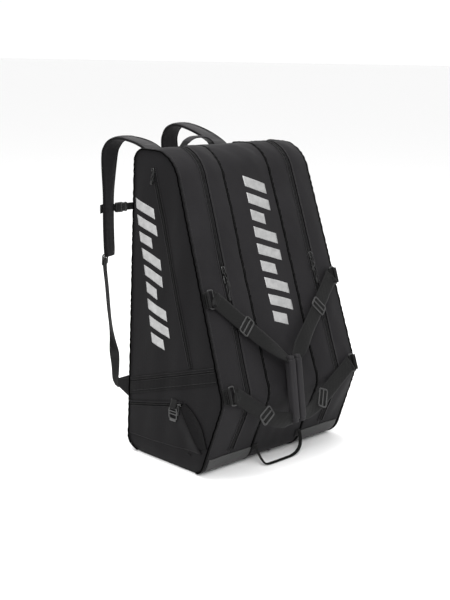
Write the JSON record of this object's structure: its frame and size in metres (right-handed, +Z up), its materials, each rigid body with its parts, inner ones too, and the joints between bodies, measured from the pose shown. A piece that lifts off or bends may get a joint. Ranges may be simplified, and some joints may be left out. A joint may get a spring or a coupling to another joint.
{
  "type": "racket tournament bag",
  "caption": "Tall racket bag with two zipped compartments, opening side flaps, lift-up duffle handles, shoulder straps with a chest strap, haul handle, shoe pocket and base loop.",
  "frame": {"origin": "centre of the base, on the floor", "axes": "+Z up, +X across the width to the bag's left as worn, +Y towards the back panel and shoulder straps; the handles and print face -Y"},
  "size_m": [0.5027, 0.6396, 0.789],
  "materials": {
    "shell_fabric": "dense woven polyester with a slight sheen",
    "base_rubber": "coated grey base trim",
    "base_board": "stiff coated base",
    "zip_tape": "coil zip tape",
    "slider_metal": "black painted zip slider",
    "pull_cord": "braided cord pull",
    "piping": "black piping",
    "buckle_plastic": "black moulded buckle",
    "grip_wrap": "padded grip wrap",
    "webbing": "ribbed webbing",
    "strap_padding": "padded strap",
    "lining": "smooth lining",
    "back_padding": "padded back"
  },
  "bodies": {
    "bag": {"base_panel": "base_board", "base_skirt": "shell_fabric", "base_strips": "base_rubber", "back_panel": "back_padding", "left_side_panel": "shell_fabric", "right_side_panel": "shell_fabric", "left_inner_gusset": "shell_fabric", "right_inner_gusset": "shell_fabric", "left_zip_inner": "zip_tape", "right_zip_inner": "zip_tape", "centre_panel": "shell_fabric", "centre_divider": "lining", "centre_pipings": "piping", "left_band_rear": "shell_fabric", "shoe_pocket": "shell_fabric", "shoe_pocket_zip": "zip_tape", "bellows_gusset": "shell_fabric", "strap_yoke": "back_padding", "strap_tabs": "shell_fabric"},
    "left_flap": {"left_side_flap": "shell_fabric", "left_outer_gusset": "shell_fabric", "left_edge_piping": "piping", "left_zip_outer": "zip_tape", "left_band_front": "shell_fabric", "side_pocket_zip": "zip_tape", "left_handle_anchors": "webbing"},
    "right_flap": {"right_side_flap": "shell_fabric", "right_outer_gusset": "shell_fabric", "right_edge_piping": "piping", "right_zip_outer": "zip_tape", "right_handle_anchors": "webbing"},
    "left_handle": {"left_handle_hardware": "buckle_plastic", "left_handle_webbing": "webbing", "left_grip": "grip_wrap"},
    "right_handle": {"right_handle_hardware": "buckle_plastic", "right_handle_webbing": "webbing", "right_grip": "grip_wrap"},
    "side_pocket_slider": {"side_pocket_slider": "slider_metal"},
    "side_pocket_pull": {"side_pocket_pull": "pull_cord"},
    "shoe_slider": {"shoe_zip_slider": "slider_metal"},
    "ladder_lock": {"ladder_lock": "buckle_plastic"},
    "haul_handle": {"haul_handle": "webbing"},
    "base_loop": {"base_loop": "webbing"},
    "left_strap": {"left_strap_pad": "strap_padding", "left_strap_web": "webbing", "left_strap_hardware": "buckle_plastic"},
    "right_strap": {"right_strap_pad": "strap_padding", "right_strap_web": "webbing", "right_strap_hardware": "buckle_plastic"},
    "sternum_strap": {"sternum_buckle": "buckle_plastic", "sternum_web": "webbing"},
    "left_upper_slider": {"left_upper_slider": "slider_metal"},
    "left_upper_pull": {"left_upper_pull": "pull_cord"},
    "left_lower_slider": {"left_lower_slider": "slider_metal"},
    "left_lower_pull": {"left_lower_pull": "pull_cord"},
    "right_upper_slider": {"right_upper_slider": "slider_metal"},
    "right_upper_pull": {"right_upper_pull": "pull_cord"},
    "right_lower_slider": {"right_lower_slider": "slider_metal"},
    "right_lower_pull": {"right_lower_pull": "pull_cord"}
  },
  "joints": [
    {"name": "left_flap_open", "type": "hinge", "parent": "bag", "child": "left_flap", "pos_m": [-0.24651, -0.152, 0.05], "axis": [-0.0281, -0.3359, -0.9415], "range_deg": [0, 45]},
    {"name": "right_flap_open", "type": "hinge", "parent": "bag", "child": "right_flap", "pos_m": [0.24651, -0.152, 0.05], "axis": [-0.0281, 0.3359, 0.9415], "range_deg": [0, 45]},
    {"name": "left_handle_lift", "type": "hinge", "parent": "left_flap", "child": "left_handle", "pos_m": [-0.22225, -0.21146, 0.21761], "axis": [0, -0.3295, -0.9442], "range_deg": [0, 110]},
    {"name": "left_upper_zip_slide", "type": "slide", "parent": "bag", "child": "left_upper_slider", "axis": [0.019, 0.3294, 0.944], "range_m": [0, 0.2]},
    {"name": "left_lower_zip_slide", "type": "slide", "parent": "bag", "child": "left_lower_slider", "axis": [-0.019, -0.3294, -0.944], "range_m": [0, 0.25]},
    {"name": "left_upper_pull_swing", "type": "hinge", "parent": "left_upper_slider", "child": "left_upper_pull", "pos_m": [-0.1483, -0.10907, 0.49217], "axis": [-1, 0, 0], "range_deg": [0, 100]},
    {"name": "left_lower_pull_swing", "type": "hinge", "parent": "left_lower_slider", "child": "left_lower_pull", "pos_m": [-0.15395, -0.11656, 0.45978], "axis": [-1, 0, 0], "range_deg": [0, 100]},
    {"name": "right_handle_lift", "type": "hinge", "parent": "right_flap", "child": "right_handle", "pos_m": [0.22225, -0.21146, 0.21761], "axis": [0, 0.3295, 0.9442], "range_deg": [0, 110]},
    {"name": "right_upper_zip_slide", "type": "slide", "parent": "bag", "child": "right_upper_slider", "axis": [-0.019, 0.3294, 0.944], "range_m": [0, 0.2]},
    {"name": "right_lower_zip_slide", "type": "slide", "parent": "bag", "child": "right_lower_slider", "axis": [0.019, -0.3294, -0.944], "range_m": [0, 0.25]},
    {"name": "right_upper_pull_swing", "type": "hinge", "parent": "right_upper_slider", "child": "right_upper_pull", "pos_m": [0.1483, -0.10907, 0.49217], "axis": [-1, 0, 0], "range_deg": [0, 100]},
    {"name": "right_lower_pull_swing", "type": "hinge", "parent": "right_lower_slider", "child": "right_lower_pull", "pos_m": [0.15395, -0.11656, 0.45978], "axis": [-1, 0, 0], "range_deg": [0, 100]},
    {"name": "side_pocket_zip_slide", "type": "slide", "parent": "left_flap", "child": "side_pocket_slider", "axis": [-0.0284, -0.3123, -0.9496], "range_m": [0, 0.4]},
    {"name": "side_pocket_pull_swing", "type": "hinge", "parent": "side_pocket_slider", "child": "side_pocket_pull", "pos_m": [-0.23056, 0.04969, 0.69281], "axis": [0, 0.9499, -0.3124], "range_deg": [0, 100]},
    {"name": "shoe_zip_slide", "type": "slide", "parent": "bag", "child": "shoe_slider", "axis": [-0.0064, 0.977, -0.2132], "range_m": [0, 0.17]},
    {"name": "ladder_lock_tilt", "type": "hinge", "parent": "bag", "child": "ladder_lock", "pos_m": [-0.2518, -0.038, 0.153], "axis": [0, 1, 0], "range_deg": [0, 90]},
    {"name": "haul_handle_fold", "type": "hinge", "parent": "bag", "child": "haul_handle", "pos_m": [0, 0.153, 0.704], "axis": [-1, 0, 0], "range_deg": [0, 75]},
    {"name": "base_loop_lift", "type": "hinge", "parent": "bag", "child": "base_loop", "pos_m": [0, -0.15254, 0.038], "axis": [-1, 0, 0], "range_deg": [0, 90]},
    {"name": "left_strap_swing", "type": "hinge", "parent": "bag", "child": "left_strap", "pos_m": [-0.117, 0.15, 0.705], "axis": [-0.2136, 0.088, -0.9729], "range_deg": [-15, 15]},
    {"name": "right_strap_swing", "type": "hinge", "parent": "bag", "child": "right_strap", "pos_m": [0.117, 0.15, 0.705], "axis": [0.2136, 0.088, -0.9729], "range_deg": [-15, 15]},
    {"name": "sternum_strap_pivot", "type": "hinge", "parent": "left_strap", "child": "sternum_strap", "pos_m": [-0.086, 0.376, 0.584], "axis": [-0.2136, 0.088, -0.9729], "range_deg": [-15, 15]}
  ],
  "couplings": [
    {"joint": "right_strap_swing", "follows": "left_strap_swing", "ratio": 1},
    {"joint": "sternum_strap_pivot", "follows": "left_strap_swing", "ratio": -1}
  ]
}
